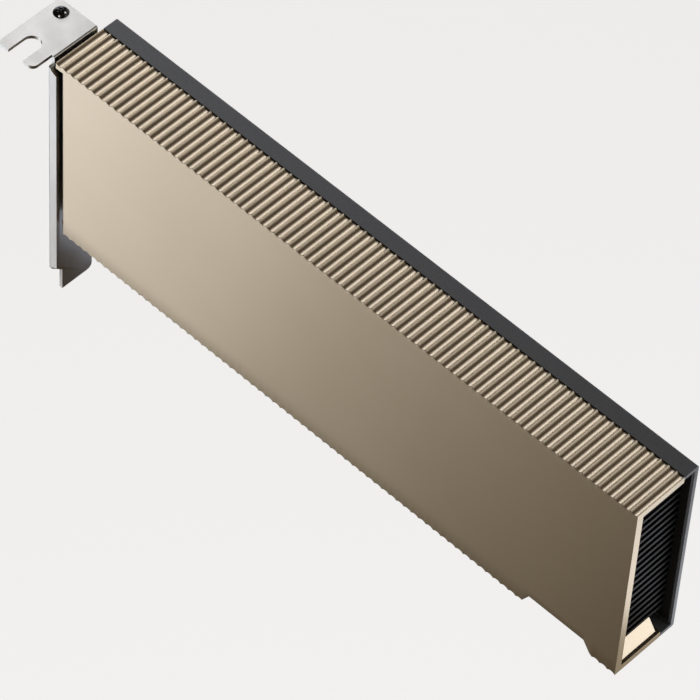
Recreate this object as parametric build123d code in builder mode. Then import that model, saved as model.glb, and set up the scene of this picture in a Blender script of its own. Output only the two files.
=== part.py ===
from build123d import *

import os

os.makedirs("parts", exist_ok=True)

# Frame and units
# Lengths are in millimetres. X runs along the card, Y through its thickness from the component side
# to the solder side, and Z up from the board's lower edge. The origin is on the bracket's outer face,
# level with the board's component face.

# Cover and body
flute_pitch = 2.15
flute_count = 77
flute_depth = 0.45
flute_land = 0.16
cover_start = 2.1
cover_end = cover_start + flute_count * flute_pitch
body_height = 55.0
body_bottom = 5.65
body_top = body_bottom + body_height
component_height = 14.47
cover_front = -component_height
cover_wall = 1.8
cover_edge_radius = 1.0
cover_edge_setback = 1.5
cover_edge_lip = 1.7
cover_inside_front = cover_front + cover_wall
cover_inside_bottom = body_bottom + cover_wall
cover_inside_top = body_top - cover_wall

# Backplate
backplate_sheet = 1.0
backplate_bend = 0.6
backplate_lip = 0.43
solder_height = 2.24
seam_gap = 0.1

# How far cuts run past a face, and how closely edges are picked
cut_margin = 1.0
pick_gap = 0.01

# Board
board_thickness = 1.57
board_left = 2.2
board_setback = 9.65
board_right = cover_end - board_setback
board_edge_gap = 0.2
board_corner = 0.6
lower_left = 11.0
lower_length = 111.0
lower_right = lower_left + lower_length
lower_gap = 0.5

# Edge connector
tongue_left = 44.55
tongue_length = 52.2
tongue_right = tongue_left + tongue_length
tongue_drop = 8.25
tongue_chamfer = 0.35
key_offset = 12.6
key_width = 1.9
key_depth = 7.6
contact_pitch = 1.0
contact_width = 0.7
contact_length = 4.6
contact_thickness = 0.05
contact_edge_gap = 0.9
contacts_before_key = 11
contacts_after_key = 38
key_to_contact = 1.5

# Depths worked out from the board
board_back = board_thickness
backplate_outside = board_back + solder_height
backplate_inside = backplate_outside - backplate_sheet
cover_rear = -backplate_lip - seam_gap

# Air notch and its raised floor, near the free end of the cover
notch_start = 26.35
notch_length = 19.5
notch_height = 3.3
notch_slope_near = 1.9
notch_slope_far = 2.3
floor_height = 4.9
floor_lead = 1.8
floor_ramp_gap = 0.8
floor_ramp_run = 2.1
floor_rear_gap = 0.75

# Cover screws and posts
post_radius = 2.3
post_web = 0.2
post_first = 12.0
post_top_middle = 80.0
post_top_last = 17.65
post_bottom_middle = 104.0
post_bottom_last = 33.65
post_drop = cover_wall + post_radius - post_web
cover_screw_radius = 1.0
cover_screw_reach = 5.0
cover_screw_head = 1.9
cover_screw_head_height = 0.9
thread_gap = 0.03
hole_gap = 0.2
tip_gap = 1.0
boss_radius = 3.25
recess_arm = 1.6
recess_width = 0.5
recess_depth = 0.45
countersink_angle = 45

# Heatsink
fin_count = 21
fin_thickness = 0.9
fin_lowest = 6.4
fin_highest = 2.8
fin_start = 6.0
fin_setback = 2.4
fin_tip_gap = 0.3
fin_tail_gap = 1.0
base_start = 6.0
base_setback = 10.65
base_thickness = 1.8
base_margin = 0.1
base_to_board = 2.27
post_clearance = 0.4

# Processor and memory
processor_x = 75.0
processor_rise = 0.5
processor_z = body_bottom + body_height / 2 + processor_rise
substrate_side = 30.0
substrate_height = 1.4
die_length = 15.0
die_width = 12.0
paste_height = 0.10
memory_length = 14.0
memory_width = 12.0
memory_height = 1.2
pad_inset = 1.0
memory_offset_x = 27.0
memory_offset_z = 8.0

# Heatsink screws
heatsink_screw_square = 35.0
heatsink_screw_radius = 1.0
heatsink_screw_head = 2.3
heatsink_screw_head_height = 1.1
washer_radius = 2.4
washer_thickness = 0.5
washer_slit = 0.5
heatsink_boss_radius = 2.2
heatsink_boss_gap = 0.2
heatsink_screw_depth = 1.6
backplate_window_radius = 3.5

# Power supply and small parts on the board
power_stage_x = 117.0
power_stage_count = 5
power_stage_pitch = 8.0
power_stage_length = 5.0
power_stage_width = 6.0
power_stage_height = 0.75
inductor_step = 9.5
inductor_length = 7.0
inductor_width = 6.6
inductor_height = 2.0
capacitor_step = 19.5
capacitor_length = 4.3
capacitor_width = 7.0
capacitor_height = 1.9
small_length = 1.6
small_width = 0.8
small_height = 0.8
small_ring = 19.0
small_pitch = 3.2
small_count = 8
small_back_pitch = 2.6
small_back_height = 0.6
controller_side = 6.0
controller_height = 0.85
management_side = 9.0
management_height = 0.9
firmware_length = 6.0
firmware_width = 5.0
firmware_height = 0.9
oscillator_length = 3.2
oscillator_width = 2.5
oscillator_height = 0.8
chip_column_x = 148.0
chip_low = 10.0
chip_high = 8.0
firmware_x = 30.0
firmware_high = 7.0
oscillator_low = 11.0

# Insulating film
film_thickness = 0.2
film_start = 11.0
film_end_gap = 0.7
film_margin = 0.7
film_hole_gap = 0.5

# Bracket
sheet = 0.9
bend_outside = 0.5
bend_inside = 0.1
plate_front_lap = 0.3
plate_width = 18.42
bracket_height = 79.2
plate_bottom_slant = 3.1
shoulder_drop = 4.0
tab_reach = 10.7
tab_width = 18.15
tab_rear = 13.5
relief_depth = 1.1
tab_rear_radius = 1.5
tab_outer_tip_radius = 1.0
tab_inner_tip_radius = 1.5
slot_width = 4.42
slot_centre_x = -5.3
slot_depth = 6.9
flange_depth = 2.5
flange_top_drop = 2.7
flange_slant = 1.4
tongue_front = 3.0
tongue_length = 9.7
tongue_width = 9.15
tongue_radius = 1.5
ear_length = 8.1
ear_width = 7.0
ear_low = 8.5
ear_high = 9.5
ear_low_z = body_bottom + ear_low
ear_high_z = body_top - ear_high
ear_screw_x = 5.0
ear_screw_radius = 1.25
ear_screw_head = 2.25
ear_screw_head_height = 0.9
ear_screw_tip = 0.3
vent_count = 5
vent_pitch = 5.0
vent_height = 3.0
vent_length = 11.0
tab_screw_x = -7.4
tab_screw_depth = 10.7
tab_screw_head = 1.75
tab_screw_head_height = 0.5
tab_screw_rounding = 0.3
tab_screw_radius = 1.0
tab_screw_length = 1.5


def across(y):
    """Plane across the card at depth y, drawn with X to the right and Z up, growing to the front."""
    return Plane.XZ.offset(-y)


def save(piece, name):
    """Label a finished piece and write it as its own file."""
    piece.part.label = name
    export_step(piece.part, f"parts/{name}.step")


def mounted(points, length, width, height, seat=0.0):
    """Equal blocks that stand on the plane at depth seat and rise towards the front."""
    with BuildPart() as blocks:
        with BuildSketch(across(seat)):
            with Locations(*points):
                Rectangle(length, width)
        extrude(amount=height)
    return blocks


def mounted_behind(points, length, width, height):
    """Equal blocks that stand on the board's solder face."""
    return mounted(points, length, width, height, seat=board_back + height)


def discs(points, radius, rear, thickness):
    """Equal discs whose rear faces lie at depth rear."""
    with BuildPart(mode=Mode.PRIVATE) as rounds:
        with BuildSketch(across(rear)):
            with Locations(*points):
                Circle(radius)
        extrude(amount=thickness)
    return rounds.part


def cross_recess(points, rear):
    """Cross-shaped driver recesses that are sunk forwards from depth rear."""
    with BuildPart(mode=Mode.PRIVATE) as crosses:
        with BuildSketch(across(rear)):
            with Locations(*points):
                Rectangle(recess_arm, recess_width)
                Rectangle(recess_width, recess_arm)
        extrude(amount=recess_depth)
    return crosses.part


def pan_screws(points, seat, head_radius, head_height, shank_radius, shank_length):
    """Screws driven from behind, with their heads seated at depth seat."""
    with BuildPart() as screws:
        add(discs(points, head_radius, seat + head_height, head_height))
        add(discs(points, shank_radius, seat, shank_length))
        add(cross_recess(points, seat + head_height), mode=Mode.SUBTRACT)
    return screws


def fluted_edge(z, outward):
    """Scalloped line along the card at height z, one arc to a flute, with its crests at z."""
    half_land = flute_land / 2
    floor = z - outward * flute_depth
    for index in range(flute_count):
        start = cover_start + index * flute_pitch
        end = start + flute_pitch
        Line((start, z), (start + half_land, z))
        ThreePointArc((start + half_land, z), ((start + end) / 2, floor), (end - half_land, z))
        Line((end - half_land, z), (end, z))


# Places shared by several pieces
board_bottom = body_bottom + backplate_sheet + board_edge_gap
board_top = body_top - backplate_sheet - board_edge_gap
key_x = tongue_left + key_offset
post_top_z = body_top - post_drop
post_bottom_z = body_bottom + post_drop
post_points = [
    (post_first, post_top_z),
    (post_top_middle, post_top_z),
    (cover_end - post_top_last, post_top_z),
    (post_first, post_bottom_z),
    (post_bottom_middle, post_bottom_z),
    (cover_end - post_bottom_last, post_bottom_z),
]
half_square = heatsink_screw_square / 2
heatsink_points = [
    (processor_x + side * half_square, processor_z + level * half_square)
    for side in (-1, 1)
    for level in (-1, 1)
]
ear_points = [(ear_screw_x, ear_low_z), (ear_screw_x, ear_high_z)]
base_front = -base_to_board - base_thickness
base_end = cover_end - base_setback
fin_front = cover_inside_front + fin_tip_gap
fin_end = cover_end - fin_setback
fin_first_z = body_bottom + fin_lowest
fin_pitch = (body_top - fin_highest - fin_first_z) / (fin_count - 1)
fin_heights = [fin_first_z + index * fin_pitch for index in range(fin_count)]

# Cover
# An open-ended channel: a flat front wall and two fluted long walls, with screw posts inside.
with BuildPart() as cover:
    with BuildSketch(across(cover_rear)):
        with BuildLine():
            fluted_edge(body_top, 1)
            Line((cover_end, body_top), (cover_end, body_bottom))
            fluted_edge(body_bottom, -1)
            Line((cover_start, body_bottom), (cover_start, body_top))
        make_face()
    extrude(amount=cover_rear - cover_front)

    # Inside, the lower wall steps up over the notch and ramps down to the mouth
    floor_top = body_bottom + floor_height
    floor_start = cover_end - notch_start - floor_lead
    ramp_foot = cover_end - floor_ramp_gap
    ramp_top = ramp_foot - floor_ramp_run
    with BuildSketch(across(cover_rear)):
        with BuildLine():
            Polyline(
                (cover_start - cut_margin, cover_inside_bottom),
                (floor_start, cover_inside_bottom),
                (floor_start, floor_top),
                (ramp_top, floor_top),
                (ramp_foot, cover_inside_bottom),
                (cover_end + cut_margin, cover_inside_bottom),
                (cover_end + cut_margin, cover_inside_top),
                (cover_start - cut_margin, cover_inside_top),
                close=True,
            )
        make_face()
    extrude(amount=cover_rear - cover_inside_front, mode=Mode.SUBTRACT)

    # The raised floor stops short of the backplate
    with BuildSketch(across(cover_rear)):
        with Locations((floor_start, cover_inside_bottom)):
            floor_rise = floor_height - cover_wall
            Rectangle(ramp_foot - floor_start, floor_rise, align=(Align.MIN, Align.MIN))
    extrude(amount=floor_rear_gap, mode=Mode.SUBTRACT)

    # Notch in the lower edge
    notch_left = cover_end - notch_start
    notch_right = notch_left + notch_length
    with BuildSketch(across(cover_rear)):
        with BuildLine():
            Polyline(
                (notch_left, body_bottom - cut_margin),
                (notch_left, body_bottom),
                (notch_left + notch_slope_near, body_bottom + notch_height),
                (notch_right - notch_slope_far, body_bottom + notch_height),
                (notch_right, body_bottom),
                (notch_right, body_bottom - cut_margin),
                close=True,
            )
        make_face()
    extrude(amount=cover_rear - cover_front, mode=Mode.SUBTRACT)

    # The front wall starts behind the bracket's flange, below a lip at the top
    with BuildSketch(across(cover_inside_front)):
        with Locations((cover_start, body_bottom - cut_margin)):
            setback_height = body_height + cut_margin - cover_edge_lip
            Rectangle(cover_edge_setback, setback_height, align=(Align.MIN, Align.MIN))
    extrude(amount=cover_wall, mode=Mode.SUBTRACT)
    edge_x = cover_start + cover_edge_setback
    edge = cover.edges().filter_by(Axis.Z).filter_by_position(Axis.X, edge_x - pick_gap, edge_x + pick_gap)
    fillet(edge.sort_by(Axis.Y)[0], cover_edge_radius)

    # Screw posts that stand on the board
    add(discs(post_points, post_radius, 0, -cover_inside_front))
    bore = cover_screw_radius + thread_gap
    add(discs(post_points, bore, 0, cover_screw_reach + tip_gap), mode=Mode.SUBTRACT)
save(cover, "cover")

# Backplate
# A shallow tray with a lip along both long edges. The lower lip stops where the board passes through.
with BuildPart() as backplate:
    with BuildSketch(Plane.YZ.offset(cover_start)) as tray:
        with BuildLine():
            Polyline(
                (-backplate_lip, body_top),
                (backplate_outside, body_top),
                (backplate_outside, body_bottom),
                (-backplate_lip, body_bottom),
                (-backplate_lip, body_bottom + backplate_sheet),
                (backplate_inside, body_bottom + backplate_sheet),
                (backplate_inside, body_top - backplate_sheet),
                (-backplate_lip, body_top - backplate_sheet),
                close=True,
            )
        make_face()
        fillet(tray.vertices().group_by(Axis.X)[-1], backplate_bend)
    extrude(amount=cover_end - cover_start)
    with BuildSketch(across(backplate_inside)):
        with Locations((lower_left - lower_gap, body_bottom - cut_margin)):
            passage_length = lower_length + 2 * lower_gap
            passage_height = backplate_sheet + cut_margin
            Rectangle(passage_length, passage_height, align=(Align.MIN, Align.MIN))
    extrude(amount=backplate_inside + backplate_lip, mode=Mode.SUBTRACT)

    # Bosses that seat on the board, countersunk from outside
    add(discs(post_points, boss_radius, backplate_inside, backplate_inside - board_back))
    with BuildSketch(across(backplate_outside)):
        with Locations(*post_points):
            Circle(cover_screw_head + thread_gap)
    extrude(amount=cover_screw_head_height, taper=countersink_angle, mode=Mode.SUBTRACT)
    passage = cover_screw_radius + hole_gap
    add(discs(post_points, passage, backplate_outside, solder_height), mode=Mode.SUBTRACT)

    # Windows round the heatsink screws
    windows = discs(heatsink_points, backplate_window_radius, backplate_outside, backplate_sheet)
    add(windows, mode=Mode.SUBTRACT)
save(backplate, "backplate")

# Insulating film on the inside of the backplate
with BuildPart() as film:
    film_bottom = body_bottom + backplate_sheet + film_margin
    film_top = body_top - backplate_sheet - film_margin
    film_length = cover_end - film_end_gap - film_start
    with BuildSketch(across(backplate_inside)):
        with Locations((film_start, film_bottom)):
            Rectangle(film_length, film_top - film_bottom, align=(Align.MIN, Align.MIN))
    extrude(amount=film_thickness)
    boss_holes = discs(post_points, boss_radius + film_hole_gap, backplate_inside, film_thickness)
    add(boss_holes, mode=Mode.SUBTRACT)
    window_radius = backplate_window_radius + film_hole_gap
    add(discs(heatsink_points, window_radius, backplate_inside, film_thickness), mode=Mode.SUBTRACT)
save(film, "insulating_film")

# Cover screws
# Flat heads in the backplate, shanks through the board into the posts.
with BuildPart() as cover_screws:
    with BuildSketch(across(backplate_outside)):
        with Locations(*post_points):
            Circle(cover_screw_head)
    extrude(amount=cover_screw_head_height, taper=countersink_angle)
    shank_length = backplate_outside - cover_screw_head_height + cover_screw_reach
    add(discs(post_points, cover_screw_radius, backplate_outside - cover_screw_head_height, shank_length))
    add(cross_recess(post_points, backplate_outside), mode=Mode.SUBTRACT)
save(cover_screws, "cover_screws")

# Circuit board
# The main panel steps down to a lower edge, and that to the connector tongue with its key slot.
with BuildPart() as board:
    with BuildSketch(across(board_back)):
        with BuildLine():
            Polyline(
                (board_left, board_bottom),
                (lower_left, board_bottom),
                (lower_left, 0),
                (tongue_left, 0),
                (tongue_left, -tongue_drop),
                (tongue_right, -tongue_drop),
                (tongue_right, 0),
                (lower_right, 0),
                (lower_right, board_bottom),
                (board_right, board_bottom),
                (board_right, board_top),
                (board_left, board_top),
                close=True,
            )
        make_face()
    extrude(amount=board_thickness)
    corners = board.edges().filter_by(Axis.Y)
    fillet(corners.filter_by_position(Axis.Z, -pick_gap, board_top + pick_gap), board_corner)
    with BuildSketch(across(board_back)):
        with Locations((key_x, -tongue_drop)):
            SlotOverall(2 * key_depth, key_width, rotation=90)
        with Locations(*post_points):
            Circle(cover_screw_radius + hole_gap)
        with Locations(*heatsink_points):
            Circle(heatsink_screw_radius + hole_gap)
        with Locations(*ear_points):
            Circle(ear_screw_radius + hole_gap)
    extrude(amount=board_thickness, mode=Mode.SUBTRACT)
    chamfer(board.edges().filter_by(Axis.X).group_by(Axis.Z)[0], tongue_chamfer)
save(board, "circuit_board")

# Edge contacts
contact_centre_z = -tongue_drop + contact_edge_gap + contact_length / 2
contact_points = [
    (key_x - key_to_contact - index * contact_pitch, contact_centre_z)
    for index in range(contacts_before_key)
]
contact_points += [
    (key_x + key_to_contact + index * contact_pitch, contact_centre_z)
    for index in range(contacts_after_key)
]
save(mounted(contact_points, contact_width, contact_length, contact_thickness), "edge_contacts_front")
save(
    mounted_behind(contact_points, contact_width, contact_length, contact_thickness),
    "edge_contacts_back",
)

# Processor
# The stack of substrate, bare die and paste fills the space under the heatsink's base.
processor_point = [(processor_x, processor_z)]
die_height = base_to_board - substrate_height - paste_height
save(mounted(processor_point, substrate_side, substrate_side, substrate_height), "processor_substrate")
save(
    mounted(processor_point, die_length, die_width, die_height, seat=-substrate_height),
    "processor_die",
)
save(
    mounted(processor_point, die_length, die_width, paste_height, seat=-substrate_height - die_height),
    "thermal_paste",
)

# Memory chips and their pads
memory_points = [
    (processor_x + side * memory_offset_x, processor_z + level * memory_offset_z)
    for side in (-1, 1)
    for level in (-1, 1)
]
pad_height = base_to_board - memory_height
save(mounted(memory_points, memory_length, memory_width, memory_height), "memory_chips")
save(
    mounted(
        memory_points,
        memory_length - 2 * pad_inset,
        memory_width - 2 * pad_inset,
        pad_height,
        seat=-memory_height,
    ),
    "memory_pads",
)

# Power stages, their pads, inductors and bulk capacitors
stage_span = (power_stage_count - 1) * power_stage_pitch
stage_heights = [
    processor_z - stage_span / 2 + index * power_stage_pitch for index in range(power_stage_count)
]
stage_points = [(power_stage_x, height) for height in stage_heights]
stage_pad_height = base_to_board - power_stage_height
save(mounted(stage_points, power_stage_length, power_stage_width, power_stage_height), "power_stages")
save(
    mounted(
        stage_points,
        power_stage_length,
        power_stage_width,
        stage_pad_height,
        seat=-power_stage_height,
    ),
    "power_stage_pads",
)
inductor_points = [(power_stage_x + inductor_step, height) for height in stage_heights]
save(mounted(inductor_points, inductor_length, inductor_width, inductor_height), "inductors")
capacitor_points = [(power_stage_x + capacitor_step, height) for height in stage_heights]
save(mounted(capacitor_points, capacitor_length, capacitor_width, capacitor_height), "bulk_capacitors")

# Ceramic capacitors, in rows above and below the processor and in a grid behind it
small_middle = (small_count - 1) / 2
small_front_points = [
    (processor_x + (index - small_middle) * small_pitch, processor_z + side * small_ring)
    for index in range(small_count)
    for side in (-1, 1)
]
small_back_points = [
    (processor_x + (column - small_middle) * small_back_pitch, processor_z + row * small_back_pitch)
    for column in range(small_count)
    for row in (-2, -1, 0, 1, 2)
]
save(mounted(small_front_points, small_length, small_width, small_height), "ceramic_capacitors_front")
save(
    mounted_behind(small_back_points, small_length, small_width, small_back_height),
    "ceramic_capacitors_back",
)

# Single chips
controller_point = [(chip_column_x, processor_z + chip_high)]
management_point = [(chip_column_x, processor_z - chip_low)]
firmware_point = [(firmware_x, processor_z + firmware_high)]
oscillator_point = [(firmware_x, processor_z - oscillator_low)]
save(mounted(controller_point, controller_side, controller_side, controller_height), "power_controller")
save(mounted(management_point, management_side, management_side, management_height), "management_chip")
save(mounted(firmware_point, firmware_length, firmware_width, firmware_height), "firmware_chip")
save(
    mounted(oscillator_point, oscillator_length, oscillator_width, oscillator_height),
    "clock_oscillator",
)

# Heatsink base
# A flat plate over the chips, cut back round the posts, with threaded bosses for its own screws.
post_clear_radius = post_radius + post_clearance
with BuildPart() as base:
    base_bottom = fin_heights[0] - fin_thickness / 2 - base_margin
    base_top = fin_heights[-1] + fin_thickness / 2 + base_margin
    with BuildSketch(across(-base_to_board)):
        with Locations((base_start, base_bottom)):
            Rectangle(base_end - base_start, base_top - base_bottom, align=(Align.MIN, Align.MIN))
        with Locations(*post_points):
            Circle(post_clear_radius, mode=Mode.SUBTRACT)
    extrude(amount=base_thickness)
    boss_length = base_to_board - heatsink_boss_gap
    add(discs(heatsink_points, heatsink_boss_radius, -heatsink_boss_gap, boss_length))
    thread_radius = heatsink_screw_radius + thread_gap
    thread_depth = base_to_board + base_thickness / 2
    add(discs(heatsink_points, thread_radius, 0, thread_depth), mode=Mode.SUBTRACT)
save(base, "heatsink_base")

# Heatsink fins
# Thin plates stacked up the card. Past the board's end each one deepens towards the backplate.
with BuildPart() as fins:
    tail_start = board_right + fin_tail_gap
    tail_rear = backplate_inside - fin_tip_gap
    for height in fin_heights:
        with BuildSketch(Plane.XY.offset(height - fin_thickness / 2)):
            with BuildLine():
                Polyline(
                    (fin_start, fin_front),
                    (fin_end, fin_front),
                    (fin_end, tail_rear),
                    (tail_start, tail_rear),
                    (tail_start, base_front),
                    (fin_start, base_front),
                    close=True,
                )
            make_face()
        extrude(amount=fin_thickness)
    add(discs(post_points, post_clear_radius, 0, -fin_front), mode=Mode.SUBTRACT)
save(fins, "heatsink_fins")

# Heatsink screws and their split washers
with BuildPart() as washers:
    with BuildSketch(across(board_back + washer_thickness)):
        with Locations(*heatsink_points):
            Circle(washer_radius)
            Circle(heatsink_screw_radius + hole_gap, mode=Mode.SUBTRACT)
        with Locations(*heatsink_points):
            slit_length = washer_radius + cut_margin
            slit_align = (Align.MIN, Align.CENTER)
            Rectangle(slit_length, washer_slit, align=slit_align, mode=Mode.SUBTRACT)
    extrude(amount=washer_thickness)
save(washers, "spring_washers")
heatsink_shank = board_back + washer_thickness + heatsink_boss_gap + heatsink_screw_depth
heatsink_screws = pan_screws(
    heatsink_points,
    board_back + washer_thickness,
    heatsink_screw_head,
    heatsink_screw_head_height,
    heatsink_screw_radius,
    heatsink_shank,
)
save(heatsink_screws, "heatsink_screws")

# Bracket
# One folded sheet: the slot cover plate with its tongue, a tab folded outwards at the top, a stiffening
# flange folded inwards along the front edge, and two ears folded inwards to carry the board. A relief
# notch parts the tab from the flange.
plate_front = cover_front - plate_front_lap
plate_rear = plate_front + plate_width + plate_front_lap
tongue_tip = body_top - bracket_height
plate_bottom = tongue_tip + tongue_length
shoulder = body_top - shoulder_drop
tab_rear_y = cover_front + tab_rear
tab_front_y = tab_rear_y - tab_width
tab_inner_x = -bend_inside
relief_y = plate_front + relief_depth
flange_top = body_top - flange_top_drop
tongue_front_y = cover_front + tongue_front
tongue_rear_y = tongue_front_y + tongue_width
with BuildPart() as bracket:
    with BuildSketch(Plane.YZ) as plate:
        with BuildLine():
            Polyline(
                (relief_y, body_top),
                (relief_y, flange_top),
                (plate_front, flange_top),
                (plate_front, plate_bottom),
                (tongue_front_y, plate_bottom - plate_bottom_slant),
                (tongue_front_y, tongue_tip),
                (tongue_rear_y, tongue_tip),
                (tongue_rear_y, plate_bottom),
                (plate_rear, plate_bottom),
                (plate_rear, shoulder),
                (tab_rear_y, shoulder),
                (tab_rear_y, body_top),
                close=True,
            )
        make_face()
        tongue_corner = plate.vertices().group_by(Axis.Y)[0].sort_by(Axis.X)[-1]
        fillet(tongue_corner, tongue_radius)
    extrude(amount=sheet)

    # Tab with its U slot, open to the front
    with BuildSketch(Plane.XY.offset(body_top - sheet)) as tab:
        with BuildLine():
            Polyline(
                (-tab_reach, tab_front_y),
                (tab_inner_x, tab_front_y),
                (tab_inner_x, relief_y),
                (sheet, relief_y),
                (sheet, tab_rear_y),
                (-tab_reach, tab_rear_y),
                close=True,
            )
        make_face()
        outer_corners = tab.vertices().group_by(Axis.X)[0].sort_by(Axis.Y)
        fillet(outer_corners[-1], tab_rear_radius)
        fillet(outer_corners[0], tab_outer_tip_radius)
        inner_corner = tab.vertices().group_by(Axis.Y)[0].sort_by(Axis.X)[-1]
        fillet(inner_corner, tab_inner_tip_radius)
        with Locations((slot_centre_x, tab_front_y)):
            SlotOverall(2 * slot_depth, slot_width, rotation=90, mode=Mode.SUBTRACT)
        with Locations((tab_screw_x, cover_front + tab_screw_depth)):
            Circle(tab_screw_radius + thread_gap, mode=Mode.SUBTRACT)
    extrude(amount=sheet)

    # Side flange with slanted ends
    with BuildSketch(across(plate_front + sheet)):
        with BuildLine():
            Polyline(
                (0, flange_top),
                (flange_depth, flange_top - flange_slant),
                (flange_depth, plate_bottom + flange_slant),
                (0, plate_bottom),
                close=True,
            )
        make_face()
    extrude(amount=sheet)

    # Ears on the board's component face, each lanced out of a window in the plate
    with BuildSketch(Plane.YZ):
        with Locations((-sheet, ear_low_z), (-sheet, ear_high_z)):
            Rectangle(ear_length, ear_width, align=(Align.MAX, Align.CENTER))
    extrude(amount=sheet, mode=Mode.SUBTRACT)
    with BuildSketch(across(0)):
        with Locations((0, ear_low_z), (0, ear_high_z)):
            Rectangle(sheet + ear_length, ear_width, align=(Align.MIN, Align.CENTER))
        with Locations(*ear_points):
            Circle(ear_screw_radius + thread_gap, mode=Mode.SUBTRACT)
    extrude(amount=sheet)

    # Air vents between the ears
    vent_middle = (ear_low_z + ear_high_z) / 2
    vent_centre_y = (plate_front + plate_rear) / 2
    with BuildSketch(Plane.YZ):
        with Locations((vent_centre_y, vent_middle)):
            with GridLocations(1, vent_pitch, 1, vent_count):
                SlotOverall(vent_length, vent_height)
    extrude(amount=sheet, mode=Mode.SUBTRACT)

    # Bends
    along_y = bracket.edges().filter_by(Axis.Y)
    tab_bend = along_y.filter_by_position(Axis.Z, body_top - pick_gap, body_top + pick_gap)
    fillet(tab_bend.sort_by(Axis.X)[-1], bend_outside)
    tab_root = bracket.edges().filter_by(Axis.Y).filter_by_position(Axis.X, -pick_gap, pick_gap)
    fillet(tab_root.sort_by(Axis.Z)[-1], bend_inside)
    flange_bend = bracket.edges().filter_by(Axis.Z).filter_by_position(Axis.X, -pick_gap, pick_gap)
    fillet(flange_bend.sort_by(Axis.Y)[0], bend_outside)
save(bracket, "bracket")

# Bracket screws, driven through the board into the ears
bracket_screws = pan_screws(
    ear_points,
    board_back,
    ear_screw_head,
    ear_screw_head_height,
    ear_screw_radius,
    board_back + sheet + ear_screw_tip,
)
save(bracket_screws, "bracket_screws")

# Screw in the tab
with BuildPart() as tab_screw:
    tab_screw_y = cover_front + tab_screw_depth
    with BuildSketch(Plane.XY.offset(body_top)):
        with Locations((tab_screw_x, tab_screw_y)):
            Circle(tab_screw_head)
    extrude(amount=tab_screw_head_height)
    fillet(tab_screw.edges().group_by(Axis.Z)[-1], tab_screw_rounding)
    with BuildSketch(Plane.XY.offset(body_top - tab_screw_length)):
        with Locations((tab_screw_x, tab_screw_y)):
            Circle(tab_screw_radius)
    extrude(amount=tab_screw_length)
    with BuildSketch(Plane.XY.offset(body_top + tab_screw_head_height - recess_depth)):
        with Locations((tab_screw_x, tab_screw_y)):
            Rectangle(recess_arm, recess_width)
            Rectangle(recess_width, recess_arm)
    extrude(amount=recess_depth, mode=Mode.SUBTRACT)
save(tab_screw, "tab_screw")
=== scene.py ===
# %% [markdown]
# # A passive accelerator card, dressed from its CAD frame
#
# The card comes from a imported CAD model, which is loaded as a fixed frame. Every solid keeps its
# shape and place. This file gives each one a finish, makes finer surfaces for the pieces that the
# eye goes to first, and sets up a camera and soft lights. Lengths are in metres, except in the cells
# on the cover and on the tab's screw, which work in millimetres and turn them into metres at the end.

import bmesh
import bpy
import numpy as np
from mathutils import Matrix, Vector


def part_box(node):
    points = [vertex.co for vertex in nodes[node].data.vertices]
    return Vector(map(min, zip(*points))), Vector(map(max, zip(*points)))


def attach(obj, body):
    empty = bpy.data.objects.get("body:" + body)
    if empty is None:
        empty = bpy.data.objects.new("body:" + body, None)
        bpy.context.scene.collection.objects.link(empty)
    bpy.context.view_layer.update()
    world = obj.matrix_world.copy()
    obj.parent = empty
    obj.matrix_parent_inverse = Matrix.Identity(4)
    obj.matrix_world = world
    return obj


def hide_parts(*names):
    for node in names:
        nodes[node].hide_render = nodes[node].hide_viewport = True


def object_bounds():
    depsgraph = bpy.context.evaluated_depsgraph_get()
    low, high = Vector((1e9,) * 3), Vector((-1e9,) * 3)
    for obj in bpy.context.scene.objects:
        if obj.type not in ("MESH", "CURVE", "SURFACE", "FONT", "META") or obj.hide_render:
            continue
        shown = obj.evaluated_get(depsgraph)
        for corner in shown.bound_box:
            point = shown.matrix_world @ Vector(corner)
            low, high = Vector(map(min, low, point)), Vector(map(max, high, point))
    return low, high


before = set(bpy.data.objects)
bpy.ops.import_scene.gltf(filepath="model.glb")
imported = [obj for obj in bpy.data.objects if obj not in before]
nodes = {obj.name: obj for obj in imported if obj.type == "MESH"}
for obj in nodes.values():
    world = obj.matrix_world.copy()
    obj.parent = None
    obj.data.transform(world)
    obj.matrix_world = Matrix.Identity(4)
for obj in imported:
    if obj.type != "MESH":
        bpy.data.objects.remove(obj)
cad_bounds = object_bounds()
MM = 0.001
print("nodes", len(nodes), "box", cad_bounds)

# %% [markdown]
# ## The camera
#
# A long lens stands high on the component side, beyond the card's free end, and is rolled a little.
# A camera in Blender looks along its own -Z with +Y up, so its matrix is made from three unit
# vectors: to the right, up, and back from where it looks. A Track To constraint could aim it, but
# it couldn't roll it.

# %% Place the camera
CAMERA_PLACE = np.array([0.51631, -0.50774, 0.86538])
CAMERA_AHEAD = np.array([-0.406462, 0.469785, -0.783639])
CAMERA_RIGHT = np.array([0.718208, 0.694449, 0.043793])
LENS_MM = 261.446
CLIP_NEAR = 0.05
CLIP_FAR = 20.0


def unit(vector):
    """A vector divided by its own length."""
    vector = np.asarray(vector, float)
    return vector / np.linalg.norm(vector)


def aimed_matrix(place, ahead, right):
    """A turn and a place for something that looks along its own -Z, as Blender wants them."""
    ahead = unit(ahead)
    right = unit(right - ahead * np.dot(right, ahead))
    matrix = np.eye(4)
    matrix[:3, 0] = right
    matrix[:3, 1] = np.cross(right, ahead)
    matrix[:3, 2] = -ahead
    matrix[:3, 3] = place
    return matrix.T.tolist()


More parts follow.
